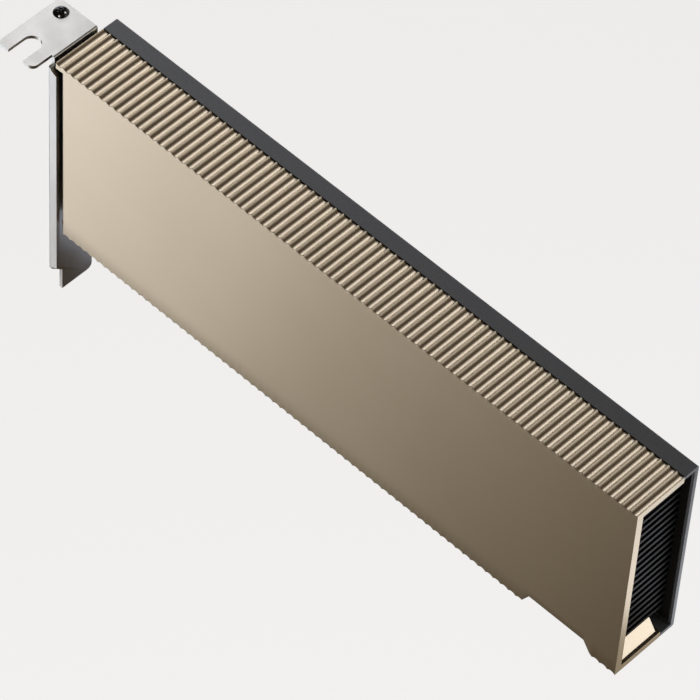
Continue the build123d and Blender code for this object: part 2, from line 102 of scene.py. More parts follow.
def add_camera():
    """A perspective camera whose axes are the unit vectors above."""
    data = bpy.data.cameras.new("camera")
    data.lens = LENS_MM
    data.clip_start = CLIP_NEAR
    data.clip_end = CLIP_FAR
    camera = bpy.data.objects.new("camera", data)
    bpy.context.scene.collection.objects.link(camera)
    camera.matrix_world = aimed_matrix(CAMERA_PLACE, CAMERA_AHEAD, CAMERA_RIGHT)
    bpy.context.scene.camera = camera
    return camera


add_camera()
print("camera at", CAMERA_PLACE, "lens", LENS_MM)

# %% [markdown]
# ## The studio
#
# Satin metal shows its surroundings, so a studio for it is a set of soft light panels, each placed
# where one kind of face would mirror it to the camera. A face with the normal n, seen along v,
# mirrors the direction 2 (n.v) n - v. A picture of a studio wrapped round the scene would light the
# card too, but panels can be set one by one, and they need no file.

# %% One panel
VIEW = -unit(CAMERA_AHEAD)
COOL = np.array([0.88, 1.0, 1.26])
FRESH = np.array([0.97, 1.0, 1.06])
WARM = np.array([1.06, 1.0, 0.84])
scene = bpy.context.scene
scene.view_settings.view_transform = "Standard"


def mirrored(normal):
    """The direction that a face with this normal mirrors to the camera."""
    normal = unit(normal)
    return 2 * np.dot(normal, VIEW) * normal - VIEW


def add_panel(
    name, target, direction, distance, size, radiance,
    tint=(1, 1, 1), right=(1, 0, 0), moved=(0, 0), spread=np.pi
):
    """A soft rectangular light at a distance from target along direction, facing back to it.

    Its width runs along right. Then it is moved in its own plane, to the right and up, in metres.
    A spread below half a turn, with h its half, dims the panel by tan h / (tan h - h), which keeps
    the radiance that the target sees while the light misses what lies beside it.
    """
    half = spread / 2
    focus = np.tan(half) / (np.tan(half) - half) if spread < np.pi else 1.0
    direction = unit(direction)
    data = bpy.data.lights.new(name, "AREA")
    data.shape = "RECTANGLE"
    data.size = size[0]
    data.size_y = size[1]
    data.energy = radiance * np.pi * size[0] * size[1] / focus
    data.spread = spread
    data.color = tint
    light = bpy.data.objects.new(name, data)
    scene.collection.objects.link(light)
    right = unit(right - direction * np.dot(right, direction))
    up = np.cross(direction, right)
    place = np.asarray(target, float) + distance * direction + moved[0] * right + moved[1] * up
    light.matrix_world = aimed_matrix(place, -direction, right)
    light.visible_camera = False
    return light


print("the flat front mirrors", np.round(mirrored((0, -1, 0)), 3))

# %% [markdown]
# ## Surroundings and floor
#
# Where metal mirrors no panel, it would turn pure black. A real room gives a little back, so the
# surroundings are dim and warm for the metal, while the camera itself sees a pale backdrop. The
# floor is one pale square far below. It stays out of the mirror images and stops no light, so that
# the panels alone shape the metal.

# %% Surroundings and floor
DIM_COLOUR = (0.055, 0.040, 0.025, 1)
BACKDROP_COLOUR = (0.87, 0.87, 0.87, 1)
FLOOR_COLOUR = (0.85, 0.85, 0.85, 1)
FLOOR_ROUGHNESS = 0.9
FLOOR_GLOW = 0.78
FLOOR_DROP = 1.1
FLOOR_SIZE = 16.0


def add_world():
    """Dim warm surroundings for the metal to mirror, and a pale backdrop for the eye."""
    world = bpy.data.worlds.new("surroundings")
    world.use_nodes = True
    tree = world.node_tree
    tree.nodes.clear()
    out = tree.nodes.new("ShaderNodeOutputWorld")
    mixed = tree.nodes.new("ShaderNodeMixShader")
    dim = tree.nodes.new("ShaderNodeBackground")
    dim.inputs["Color"].default_value = DIM_COLOUR
    pale = tree.nodes.new("ShaderNodeBackground")
    pale.inputs["Color"].default_value = BACKDROP_COLOUR
    path = tree.nodes.new("ShaderNodeLightPath")
    tree.links.new(path.outputs["Is Camera Ray"], mixed.inputs[0])
    tree.links.new(dim.outputs[0], mixed.inputs[1])
    tree.links.new(pale.outputs[0], mixed.inputs[2])
    tree.links.new(mixed.outputs[0], out.inputs["Surface"])
    scene.world = world


def add_floor(height):
    """One pale square that gives back a little light of its own, so that shadows stay faint."""
    half = FLOOR_SIZE / 2
    mesh = bpy.data.meshes.new("floor")
    corners = [(-half, -half, height), (half, -half, height), (half, half, height), (-half, half, height)]
    mesh.from_pydata(corners, [], [(0, 1, 2, 3)])
    floor = bpy.data.objects.new("floor", mesh)
    scene.collection.objects.link(floor)
    paint = bpy.data.materials.new("floor_paint")
    paint.use_nodes = True
    shader = paint.node_tree.nodes["Principled BSDF"]
    shader.inputs["Base Color"].default_value = FLOOR_COLOUR
    shader.inputs["Roughness"].default_value = FLOOR_ROUGHNESS
    shader.inputs["Emission Color"].default_value = (1, 1, 1, 1)
    shader.inputs["Emission Strength"].default_value = FLOOR_GLOW
    mesh.materials.append(paint)
    floor.visible_glossy = False
    floor.visible_shadow = False
    return floor


lowest, highest = (np.array(corner) for corner in cad_bounds)
card_middle = (lowest + highest) / 2
add_world()
add_floor(lowest[2] - FLOOR_DROP)
print("floor at", round(lowest[2] - FLOOR_DROP, 3), "card's middle", np.round(card_middle, 4))

# %% [markdown]
# ## Panels for the flutes
#
# A flute is a round-bottomed groove, so its surface turns through many slopes and mirrors a whole
# ring of directions about the card's thickness. Nine panels stand on that ring. The bright ones make
# the light side of each flute, the dim ones its dark side, and the gap above keeps the two apart.

# %% Ring of panels
# Angle of each panel from +Z towards -X in degrees, and its radiance
RING = {-80: 0.86, -60: 0.76, -40: 0.18, 20: 0.16, 40: 1.30, 60: 1.55, 80: 1.45, 100: 1.05, 120: 0.68}
RING_WARM = (-40, 120)
RING_DISTANCE = 0.8
RING_SIZE = (0.245, 0.6)


def ring_panels():
    """A ring of panels, one to a step of slope on the flutes, each facing the card."""
    side = np.hypot(VIEW[0], VIEW[2])
    for turn, radiance in RING.items():
        angle = np.radians(turn)
        direction = (-side * np.sin(angle), -VIEW[1], side * np.cos(angle))
        right = (np.cos(angle), 0, np.sin(angle))
        tint = WARM if turn in RING_WARM else FRESH
        add_panel(f"ring_{turn}", card_middle, direction, RING_DISTANCE, RING_SIZE, radiance, tint, right)


ring_panels()
print("ring of", len(RING), "panels")

# %% [markdown]
# ## Panels for the flat front
#
# Every point of the flat front mirrors almost the same direction, so one patch of the studio paints
# it all, and that patch moves as the eye goes along the card. A row of panels, each dimmer and
# warmer than the one before, gives the front its long even shading.

# %% Row of panels
# Radiances from the bracket's end on
FRONT_ROW = (2.26, 2.16, 1.80, 1.33, 0.93, 0.42, 0.20, 0.06)
FRONT_FIRST = -0.22
FRONT_DISTANCE = 0.3
FRONT_SIZE = (0.06, 0.17)
FRONT_LIFT = 0.035


def front_panels():
    """A row of panels along the card: place = first + index * width, tint from cool to warm."""
    target = (0.0, lowest[1], card_middle[2])
    direction = mirrored((0, -1, 0))
    for index, radiance in enumerate(FRONT_ROW):
        moved = (FRONT_FIRST + index * FRONT_SIZE[0], FRONT_LIFT)
        tint = COOL + (WARM - COOL) * index / (len(FRONT_ROW) - 1)
        name = f"front_{index}"
        add_panel(name, target, direction, FRONT_DISTANCE, FRONT_SIZE, radiance, tint, moved=moved)


front_panels()
print("row of", len(FRONT_ROW), "panels")

# %% [markdown]
# ## Panels for small faces
#
# The open end, the tab and the tongue mirror directions that the large panels miss, so each has a
# small panel of its own close by. Two tiny ones give the tab's screw its two glints. Their narrow
# spread keeps that light on the screw and off the flutes next to it.

# %% Small panels
END_TARGET = (highest[0], -7 * MM, 50 * MM)
END_RIGHT = (0.513, 0.594, 0.62)
END_DISTANCE = 0.05
TAB_TARGET = (-6 * MM, -14 * MM, 60 * MM)
TONGUE_TARGET = (1 * MM, 3 * MM, -8 * MM)
GLINT_SPREAD = np.radians(28)
GLINT_DISTANCE = 0.02
GLINT_SIZE = (7 * MM, 7 * MM)
# Direction and radiance of each glint
GLINTS = {"glint_front": ((0.256, -0.794, 0.553), 26), "glint_rear": ((0.46, 0.588, 0.664), 24)}
tab_screw_low, tab_screw_high = (np.array(corner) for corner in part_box("tab_screw"))
SCREW_TOP = (*(tab_screw_low + tab_screw_high)[:2] / 2, tab_screw_high[2])


def small_panels():
    """One panel for each small face, in the direction that the face mirrors to the camera."""
    end = mirrored((1, 0, 0))
    add_panel(
        "end_panel", END_TARGET, end, END_DISTANCE, size=(0.036, 0.05), radiance=1.12,
        tint=FRESH, right=END_RIGHT, moved=(-0.003, 0)
    )
    add_panel(
        "end_low_panel", END_TARGET, end, END_DISTANCE, size=(0.024, 0.05), radiance=0.26,
        tint=WARM, right=END_RIGHT, moved=(-0.033, 0)
    )
    for name, (direction, radiance) in GLINTS.items():
        add_panel(name, SCREW_TOP, direction, GLINT_DISTANCE, GLINT_SIZE, radiance, spread=GLINT_SPREAD)
    add_panel("tab_panel", TAB_TARGET, mirrored((0, 0, 1)), distance=0.06, size=(0.03, 0.03), radiance=0.15)
    add_panel(
        "tongue_panel", TONGUE_TARGET, end, END_DISTANCE, size=(0.014, 0.014), radiance=1.3, tint=COOL
    )


small_panels()
print("glints aim at", np.round(SCREW_TOP, 5))

# %% [markdown]
# ## Panels for the other sides
#
# The ring and the row serve the side that the camera sees. Three large dim panels light the front,
# the back and the free end evenly, for someone who walks round the card.

# %% Fill panels
FILLS = {"fill_front": (-0.1, -0.95, -0.25), "fill_back": (0.1, 1, 0.15), "fill_end": (1, -0.1, 0.1)}
FILL_DISTANCE = 0.8
FILL_SIZE = (0.7, 0.4)
FILL_RADIANCE = 0.45
for name, direction in FILLS.items():
    level = np.cross((0, 0, 1), direction)
    add_panel(name, card_middle, direction, FILL_DISTANCE, FILL_SIZE, FILL_RADIANCE, FRESH, right=level)

# %% [markdown]
# ## Finishes
#
# Each finish is a small node tree on the Principled shader. Patterns read Object coordinates,
# which are the card's own metres, so a pattern's size is stated as it is on the real thing. Noise
# does the rest: as a fine bump it is the grain of a surface, and through a colour ramp it lets a
# colour or a roughness wander between two values, as it does on every real part.

# %% Helpers for node trees


def shader_of(finish):
    """The Principled shader of a material."""
    return finish.node_tree.nodes["Principled BSDF"]


def new_finish(name, colour, roughness, metallic=0.0, specular=0.5):
    """A material with a Principled shader, whose constant values sit on the shader's own sockets."""
    finish = bpy.data.materials.new(name)
    finish.use_nodes = True
    sockets = shader_of(finish).inputs
    sockets["Base Color"].default_value = (*colour, 1)
    sockets["Roughness"].default_value = roughness
    sockets["Metallic"].default_value = metallic
    sockets["Specular IOR Level"].default_value = specular
    return finish


def noise_at(finish, size, detail=2.0, stretch=(1, 1, 1)):
    """Noise on Object coordinates. size is one blotch in metres, stretch squeezes it along an axis."""
    tree = finish.node_tree
    place = tree.nodes.new("ShaderNodeTexCoord")
    mapping = tree.nodes.new("ShaderNodeMapping")
    mapping.inputs["Scale"].default_value = stretch
    noise = tree.nodes.new("ShaderNodeTexNoise")
    noise.inputs["Scale"].default_value = 1 / size
    noise.inputs["Detail"].default_value = detail
    tree.links.new(place.outputs["Object"], mapping.inputs["Vector"])
    tree.links.new(mapping.outputs["Vector"], noise.inputs["Vector"])
    return noise


def grain(finish, size, depth, detail=3.0, stretch=(1, 1, 1)):
    """Fine bump from noise: size is one grain in metres, depth its height in metres."""
    tree = finish.node_tree
    noise = noise_at(finish, size, detail, stretch)
    bump = tree.nodes.new("ShaderNodeBump")
    bump.inputs["Distance"].default_value = depth
    bump.inputs["Strength"].default_value = 1.0
    tree.links.new(noise.outputs["Fac"], bump.inputs["Height"])
    tree.links.new(bump.outputs["Normal"], shader_of(finish).inputs["Normal"])


def colour_of(value):
    """A ramp colour from one number or three."""
    return (*value, 1) if np.ndim(value) else (value, value, value, 1)


def varied(finish, socket, low, high, size, detail=2.0, stretch=(1, 1, 1), band=(0.3, 0.7)):
    """Lets noise of the given size, in metres, drive a socket between two values or colours."""
    tree = finish.node_tree
    noise = noise_at(finish, size, detail, stretch)
    ramp = tree.nodes.new("ShaderNodeValToRGB")
    for element, position, value in zip(ramp.color_ramp.elements, band, (low, high)):
        element.position = position
        element.color = colour_of(value)
    tree.links.new(noise.outputs["Fac"], ramp.inputs["Fac"])
    tree.links.new(ramp.outputs["Color"], shader_of(finish).inputs[socket])


def dress(node, finish):
    """Gives a CAD node one finish all over."""
    slots = nodes[node].data.materials
    slots.clear()
    slots.append(finish)


# %% [markdown]
# ## Making surfaces
#
# A new piece is a list of points and faces that numpy works out from a formula. Rows of points that
# follow each other make a grid, and a closed loop of rows makes a tube. Where a seam closes or a
# pole shrinks to a point, points coincide, and a weld joins them. Faces that meet at less than a set
# angle are shaded as one smooth surface.

# %% Helpers for meshes
SHARP = np.radians(28)
WELD = 0.0001 * MM


def grid_faces(rows, columns, closed=False, first=0):
    """Quads between the points of a grid stored row by row. Closed joins the last row to the first."""
    below = np.arange(rows if closed else rows - 1)
    above = (below + 1) % rows
    column = np.arange(columns - 1)
    corner = [
        below[:, None] * columns + column,
        above[:, None] * columns + column,
        above[:, None] * columns + column + 1,
        below[:, None] * columns + column + 1,
    ]
    return (np.stack(corner, -1).reshape(-1, 4) + first).tolist()


def shade(mesh):
    """Smooth shading, broken at edges that turn by more than SHARP."""
    mesh.shade_smooth()
    mesh.set_sharp_from_angle(angle=SHARP)


def new_piece(name, points, faces, finish, slot, *replaced):
    """A mesh object from points in metres, on the card's body, standing for the replaced nodes."""
    mesh = bpy.data.meshes.new(name)
    mesh.from_pydata(np.asarray(points, float).tolist(), [], faces)
    shape = bmesh.new()
    shape.from_mesh(mesh)
    bmesh.ops.remove_doubles(shape, verts=shape.verts, dist=WELD)
    shape.to_mesh(mesh)
    shape.free()
    mesh.validate()
    shade(mesh)
    mesh.materials.append(finish)
    piece = bpy.data.objects.new(name, mesh)
    scene.collection.objects.link(piece)
    if replaced:
        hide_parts(*replaced)
    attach(piece, "root")
    return piece


# %% [markdown]
# ## Champagne metal
#
# The cover is blasted and anodised: even, satin, and warm. Its grain is far finer than a
# millimetre, so it only softens the mirror images, and its colour hardly varies. A metallic shader
# with a middling roughness gives that. A paint would be a coat over a dull colour instead, and
# would lose the tinted highlights.

# %% Champagne finish
champagne = new_finish("champagne_metal", (0.72, 0.61, 0.46), 0.34, metallic=1.0)
varied(champagne, "Base Color", (0.708, 0.598, 0.448), (0.732, 0.622, 0.472), 0.03)
grain(champagne, 0.12 * MM, 0.002 * MM)
print("finish", champagne.name)

# %% [markdown]
# ## The fluted cover
#
# The real cover is a channel with a flat front wall and two long walls that carry 77 round-bottomed
# flutes, cut across the card's length. It could be extruded the short way or milled from bar. Its
# outer skin is one surface of two parameters. Along the card goes x, and round the section goes a
# list of rows: down the top wall to the front, over a small rounding, down the front wall, over the
# lower rounding and back along the lower wall. Where the rows go over a rounding, the outline of the
# flutes shrinks inwards by an inset d. A flute is an arc of radius R about a point above the
# crests, and its inset arc has the radius R + d about the same point, which keeps the rounding even.

# %% Outline of the fluted walls
cover_low, cover_high = (np.array(corner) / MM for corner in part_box("cover"))
X_START, FRONT, BOTTOM = cover_low
X_END, TOP = cover_high[0], cover_high[2]
FLUTES = 77
PITCH = (X_END - X_START) / FLUTES
FLUTE_DEPTH = 0.45
LAND = 0.16
WALL = 1.8
REAR = -0.53
ROUNDING = 0.1
HALF_CHORD = (PITCH - LAND) / 2
FLUTE_RADIUS = (HALF_CHORD**2 + FLUTE_DEPTH**2) / (2 * FLUTE_DEPTH)
# Corners of the notch in the lower edge: place along the card, and height
NOTCH = np.array([[141.3, 0.0], [143.2, 3.3], [158.5, 3.3], [160.8, 0.0]])


def flute_drop(x, inset):
    """Depth of the fluted wall below its crests: max(sqrt((R + d)^2 - u^2) - (R - depth), d)."""
    across = (x - X_START) % PITCH - PITCH / 2
    inside = (FLUTE_RADIUS + inset) ** 2 - across**2
    return np.maximum(np.sqrt(inside) - (FLUTE_RADIUS - FLUTE_DEPTH), inset)


def notch_rise(x, inset):
    """Height of the notch in the lower edge, a trapezium with each side moved inwards by the inset."""
    (near_foot, _), (near_top, rise), (far_top, _), (far_foot, _) = NOTCH
    near_run = near_top - near_foot
    far_run = far_foot - far_top
    up = ((x - near_foot) * rise + np.hypot(near_run, rise) * inset) / near_run
    down = ((far_foot - x) * rise + np.hypot(far_run, rise) * inset) / far_run
    return np.minimum(np.minimum(up, down), rise + inset)


def top_edge(x, inset):
    """Height of the top wall's outer surface."""
    return TOP - flute_drop(x, inset)


def bottom_edge(x, inset):
    """Height of the lower wall's outer surface, with the notch."""
    return BOTTOM + np.maximum(flute_drop(x, inset), notch_rise(x, inset))


print("flutes", FLUTES, "pitch", round(PITCH, 4), "radius", round(FLUTE_RADIUS, 4))

# %% [markdown]
# ## The cover's section
#
# The section is a loop of rows, each with one depth and one height for every place along the card.
# The inside of the channel is plain, but its lower wall steps up over the notch and ramps down to
# the mouth. The front wall starts behind the bracket's flange, with a rounded edge, below a lip.

# %% Rows of the section
FLOOR_START = 139.5
RAMP_TOP = 164.75
RAMP_FOOT = 166.85
FLOOR_HEIGHT = 4.9
FLOOR_REAR = REAR - 0.75
EDGE_X = X_START + 1.5
EDGE_RADIUS = 1.0
STEP = 0.002
ARC_POINTS = 13
EDGE_POINTS = 7
ROUNDING_POINTS = 6
SAME_PLACE = 1e-6


def inside_floor(x):
    """Height of the lower wall's inner surface."""
    at = [X_START, FLOOR_START, FLOOR_START + STEP, RAMP_TOP, RAMP_FOOT, X_END]
    return BOTTOM + np.interp(x, at, [WALL, WALL, FLOOR_HEIGHT, FLOOR_HEIGHT, WALL, WALL])


def columns_between(start, end):
    """Places along the card where the outline is sampled: lands, 12 steps round each arc, and corners."""
    angles = np.linspace(-1, 1, ARC_POINTS) * np.arcsin(HALF_CHORD / FLUTE_RADIUS)
    arc = PITCH / 2 + FLUTE_RADIUS * np.sin(angles)
    flutes = X_START + PITCH * np.arange(FLUTES)
    corners = [FLOOR_START, FLOOR_START + STEP, RAMP_TOP, RAMP_FOOT, *NOTCH[:, 0]]
    edge_round = EDGE_X + EDGE_RADIUS * (1 - np.cos(np.linspace(0, np.pi / 2, EDGE_POINTS)))
    places = np.concatenate([(flutes[:, None] + arc).ravel(), flutes, [start, end], corners, edge_round])
    places = np.unique(np.round(places, 5))
    return places[(places >= start - SAME_PLACE) & (places <= end + SAME_PLACE)]


def rounded_rows(x, edge, order):
    """Rows over the rounding between a long wall and the front wall, for turns from 0 to 90 degrees."""
    rows = []
    for turn in np.linspace(0, np.pi / 2, ROUNDING_POINTS)[::order]:
        depth = np.full_like(x, FRONT + ROUNDING * (1 - np.sin(turn)))
        rows.append((depth, edge(x, ROUNDING * (1 - np.cos(turn)))))
    return rows


def flat_row(x, depth, height):
    """A row at one depth, and at one height or a height for each place."""
    return (np.full_like(x, depth), np.broadcast_to(height, x.shape))


print("columns", len(columns_between(X_START, X_END)))

# %% [markdown]
# The cover has three stretches. Along most of it the section is the whole channel. At the bracket's
# end the front wall is set back, so two short stretches carry the top wall and the lower wall alone.

# %% Sections of the three stretches
LIP = 1.7
PLAIN_FRONT = 5.5


def whole_section(x):
    """The closed loop of rows of the channel, its front edge set back by r - sqrt(r^2 - reach^2)."""
    reach = np.maximum(EDGE_X + EDGE_RADIUS - x, 0)
    edge_back = FRONT + EDGE_RADIUS - np.sqrt(np.maximum(EDGE_RADIUS**2 - reach**2, 0))
    lip_z = TOP - LIP
    upper = [flat_row(x, REAR, top_edge(x, 0))] + rounded_rows(x, top_edge, 1)
    upper.append(flat_row(x, FRONT, lip_z + STEP))
    lower = [flat_row(x, FRONT, height) for height in (lip_z, (TOP + BOTTOM) / 2, BOTTOM + PLAIN_FRONT)]
    lower += rounded_rows(x, bottom_edge, -1)
    lower = [(np.maximum(depth, edge_back), height) for depth, height in lower]
    inner = [
        flat_row(x, REAR, bottom_edge(x, 0)),
        flat_row(x, REAR, BOTTOM + WALL),
        flat_row(x, FLOOR_REAR, BOTTOM + WALL),
        flat_row(x, FLOOR_REAR, inside_floor(x)),
        flat_row(x, FRONT + WALL, inside_floor(x)),
        flat_row(x, FRONT + WALL, TOP - WALL),
        flat_row(x, REAR, TOP - WALL),
    ]
    return upper + lower + inner


def upper_section(x):
    """The top wall alone, where the front wall is set back."""
    upper = [flat_row(x, REAR, top_edge(x, 0))] + rounded_rows(x, top_edge, 1)
    return upper + [flat_row(x, FRONT, TOP - WALL), flat_row(x, REAR, TOP - WALL)]


def lower_section(x):
    """The lower wall alone, where the front wall is set back."""
    inner = FRONT + WALL
    return [
        flat_row(x, inner, bottom_edge(x, 0)),
        flat_row(x, REAR, bottom_edge(x, 0)),
        flat_row(x, REAR, BOTTOM + WALL),
        flat_row(x, inner, BOTTOM + WALL),
    ]


print("rows", [len(section(np.zeros(1))) for section in (whole_section, upper_section, lower_section)])

# %% [markdown]
# Six posts stand from the front wall and take the screws from the back. Each is a profile turned
# about its own axis, with a chamfered rim and a blind bore, and with its foot sunk in the wall.

# %% Posts and stretches as one mesh
POST_RADIUS = 2.3
BORE_RADIUS = 1.03
BORE_DEPTH = 6.0
CHAMFER = 0.15
POST_TURNS = 33
POST_TOP = 56.75
POST_LOW = 9.55
POSTS = [(x, POST_TOP) for x in (12.0, 80.0, 150.0)] + [(x, POST_LOW) for x in (12.0, 104.0, 134.0)]


def tube(start, end, section, first):
    """Points and faces of a closed section carried along the card, with a cap at each end."""
    x = columns_between(start, end)
    rows = section(x)
    points = np.array([np.stack([x, depth, height], -1) for depth, height in rows]).reshape(-1, 3)
    faces = grid_faces(len(rows), len(x), closed=True, first=first)
    left = [first + row * len(x) for row in range(len(rows))]
    faces.append(left)
    faces.append([corner + len(x) - 1 for corner in reversed(left)])
    return points, faces


def turned_post(x, z, first):
    """A profile of radius and depth, turned about the post's axis at x and z."""
    foot = FRONT + WALL / 2
    outside = [(0.0, foot), (POST_RADIUS, foot), (POST_RADIUS, -CHAMFER), (POST_RADIUS - CHAMFER, 0.0)]
    mouth = [(BORE_RADIUS + CHAMFER, 0.0), (BORE_RADIUS, -CHAMFER)]
    bottom = [(BORE_RADIUS, -BORE_DEPTH), (0.0, -BORE_DEPTH)]
    profile = outside + mouth + bottom
    turn = np.linspace(0, 2 * np.pi, POST_TURNS)
    points = [
        np.stack([x + radius * np.cos(turn), np.full_like(turn, y), z + radius * np.sin(turn)], -1)
        for radius, y in profile
    ]
    return np.array(points).reshape(-1, 3), grid_faces(len(profile), len(turn), first=first)


def fluted_cover():
    """The three stretches of the channel and its six posts as one mesh."""
    points, faces = [], []
    for start, end, section in (
        (EDGE_X, X_END, whole_section),
        (X_START, EDGE_X, upper_section),
        (X_START, EDGE_X, lower_section),
    ):
        more, sides = tube(start, end, section, sum(map(len, points)))
        points.append(more)
        faces += sides
    for x, z in POSTS:
        more, sides = turned_post(x, z, sum(map(len, points)))
        points.append(more)
        faces += sides
    points = np.concatenate(points) * MM
    return new_piece("fluted_cover", points, faces, champagne, "champagne_metal", "cover")


fluted = fluted_cover()
print("cover faces", len(fluted.data.polygons))

# %% [markdown]
# ## Softened edges
#
# No sheet or moulding has a perfectly sharp edge: punching rolls it, and a coat fills it. Each of
# these pieces is a copy of its own solid, with flat faces joined up and a narrow bevel along every
# edge that turns by more than a set angle. The bevel is what catches a thin line of light. It could
# be cut in CAD too, but there it would make every solid heavier for the sake of a look.

# %% Bevelled copies of the solids
BEVEL_ANGLE = np.radians(33)
JOIN_DISTANCE = 0.0005 * MM
JOIN_ANGLE = np.radians(0.6)


def softened(node, width, finish, segments=2):
    """A copy of a CAD node with its coplanar faces joined and its sharp edges bevelled by width."""
    shape = bmesh.new()
    shape.from_mesh(nodes[node].data)
    bmesh.ops.remove_doubles(shape, verts=shape.verts, dist=JOIN_DISTANCE)
    bmesh.ops.dissolve_limit(
        shape, angle_limit=JOIN_ANGLE, verts=shape.verts, edges=shape.edges, use_dissolve_boundaries=False
    )
    mesh = bpy.data.meshes.new(f"{node}_soft")
    shape.to_mesh(mesh)
    shape.free()
    mesh.materials.clear()
    mesh.materials.append(finish)
    shade(mesh)
    piece = bpy.data.objects.new(f"{node}_soft", mesh)
    scene.collection.objects.link(piece)
    bevel = piece.modifiers.new("edges", "BEVEL")
    bevel.width = width
    bevel.segments = segments
    bevel.limit_method = "ANGLE"
    bevel.angle_limit = BEVEL_ANGLE
    bevel.harden_normals = False
    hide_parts(node)
    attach(piece, "root")
    return piece


print("edges that turn by more than", round(np.degrees(BEVEL_ANGLE)), "degrees are softened")

# %% [markdown]
# ## Bracket
#
# The bracket is one folded sheet of plated steel, close to a plain light grey. Rolling and plating
# leave it slightly directional, so its roughness varies in fine streaks. An anisotropic shader could
# show that too, but at this size stretched noise does it with less.

# %% Plated steel bracket
plated = new_finish("bracket_steel", (0.655, 0.64, 0.61), 0.32, metallic=1.0)
varied(plated, "Roughness", 0.28, 0.37, 0.004, stretch=(1, 1, 0.25))
grain(plated, 0.2 * MM, 0.002 * MM, stretch=(1, 1, 0.3))
bracket = softened("bracket", 0.26 * MM, plated, segments=3)
print("bracket faces before its bevel", len(bracket.data.polygons))

# %% [markdown]
# ## Backplate, fins and film
#
# The tray at the back has a fine matt powder coat with a faint orange peel. Powder melts into a
# surface that isn't quite even, so its colour varies within a third of a millimetre. The fin stack
# is dyed black, so only its edges catch light. The film behind the board is matt black, and its
# black also stands in for painted shade on the tray's inner faces beside the fins.

# %% Powder coat
dark_coat = new_finish("dark_grey_coat", (0.112, 0.119, 0.130), 0.48, specular=0.9)
varied(dark_coat, "Base Color", (0.090, 0.096, 0.106), (0.129, 0.138, 0.152), 0.35 * MM, detail=4)
grain(dark_coat, 0.15 * MM, 0.006 * MM)
backplate = softened("backplate", 0.08 * MM, dark_coat)
print("backplate faces before its bevel", len(backplate.data.polygons))

# %% Black dye
black_dye = new_finish("black_anodised", (0.006, 0.0065, 0.007), 0.42, specular=0.12)
varied(black_dye, "Roughness", 0.34, 0.44, 0.01)
grain(black_dye, 0.1 * MM, 0.003 * MM)
softened("heatsink_fins", 0.06 * MM, black_dye, segments=1)
softened("heatsink_base", 0.1 * MM, black_dye)
print("finish", black_dye.name)

# %% Film
# A near-black sheet: a real insulating film, whose black also stands in for painted shade inside the tray.
film_black_and_shade = new_finish("black_film", (0.006, 0.006, 0.006), 0.6)
varied(film_black_and_shade, "Roughness", 0.55, 0.7, 0.006)
grain(film_black_and_shade, 0.4 * MM, 0.004 * MM)
dress("insulating_film", film_black_and_shade)
print("finish", film_black_and_shade.name)

# %% [markdown]
# ## Screws and washers
#
# The fasteners are steel with a black zinc finish. It is smooth and mirrors dimly, so it is made as
# a dark metal rather than as black paint, and it is worn a little brighter in places.

# %% Black steel
black_steel = new_finish("black_steel", (0.07, 0.07, 0.072), 0.14, metallic=1.0)
varied(black_steel, "Roughness", 0.12, 0.2, 1 * MM)
grain(black_steel, 0.08 * MM, 0.001 * MM)
for screws in ("cover_screws", "heatsink_screws", "bracket_screws", "spring_washers"):
    softened(screws, 0.05 * MM, black_steel)
print("finish", black_steel.name)

# %% [markdown]
# ## The screw in the tab
#
# The screw in the bracket's tab is the one that the eye meets, so its head is made again as a
# surface of radius and turn: a cap of a sphere, sunk by a cross whose arms narrow towards their ends
# and whose walls slope. A boolean cut would do it too, but it leaves long thin faces that shade
# badly. The black lacquer is glossy and mirrors two small lights.

# %% Screw in the tab
SCREW_X, SCREW_Y = (tab_screw_low + tab_screw_high)[:2] / 2 / MM
SHANK_END = tab_screw_low[2] / MM
HEAD_RADIUS = 1.82
SPHERE_RADIUS = 2.1
SHANK_RADIUS = 1.0
CROSS_DEPTH = 0.3
CROSS_WALL = 0.2
CROSS_CORNER = 0.34
CROSS_ARM = 0.52
SCREW_TURNS = 97
SCREW_RINGS = 44
FIRST_RING = 0.015


def cross_reach(turn):
    """How far the cross reaches from the centre: corner + arm |cos 2t|^6, four arms and four corners."""
    return CROSS_CORNER + CROSS_ARM * np.abs(np.cos(2 * turn)) ** 6


def dome(radius, turn):
    """Height above the seat: a cap sqrt(S^2 - r^2) - sqrt(S^2 - R^2), less the cross within its reach."""
    height = np.sqrt(SPHERE_RADIUS**2 - radius**2) - np.sqrt(SPHERE_RADIUS**2 - HEAD_RADIUS**2)
    return height - CROSS_DEPTH * np.clip((cross_reach(turn) - radius) / CROSS_WALL, 0, 1)


def domed_screw():
    """A domed head on the tab's face, and the plain shank below, as one turned skin closed at both ends."""
    turn = np.linspace(0, 2 * np.pi, SCREW_TURNS)
    rings = HEAD_RADIUS * np.sin(np.linspace(FIRST_RING, np.pi / 2, SCREW_RINGS))
    radius, angle = np.meshgrid(rings, turn, indexing="ij")
    head = np.stack([radius * np.cos(angle), radius * np.sin(angle), TOP + dome(radius, angle)], -1)
    shank = np.array([
        np.stack([r * np.cos(turn), r * np.sin(turn), np.full_like(turn, z)], -1)
        for r, z in ((HEAD_RADIUS, TOP), (SHANK_RADIUS, TOP), (SHANK_RADIUS, SHANK_END))
    ])
    skin = np.concatenate([head, shank])
    points = skin.reshape(-1, 3) + (SCREW_X, SCREW_Y, 0)
    faces = grid_faces(len(skin), len(turn))
    faces.append(list(range(len(turn) - 1)))
    faces.append([(len(skin) - 1) * len(turn) + column for column in reversed(range(len(turn) - 1))])
    return new_piece("domed_screw", points * MM, faces, lacquer, "black_steel", "tab_screw")


lacquer = new_finish("black_lacquer", (0.004, 0.004, 0.004), 0.12, specular=0.65)
varied(lacquer, "Roughness", 0.1, 0.17, 0.6 * MM)
screw = domed_screw()
print("screw faces", len(screw.data.polygons))

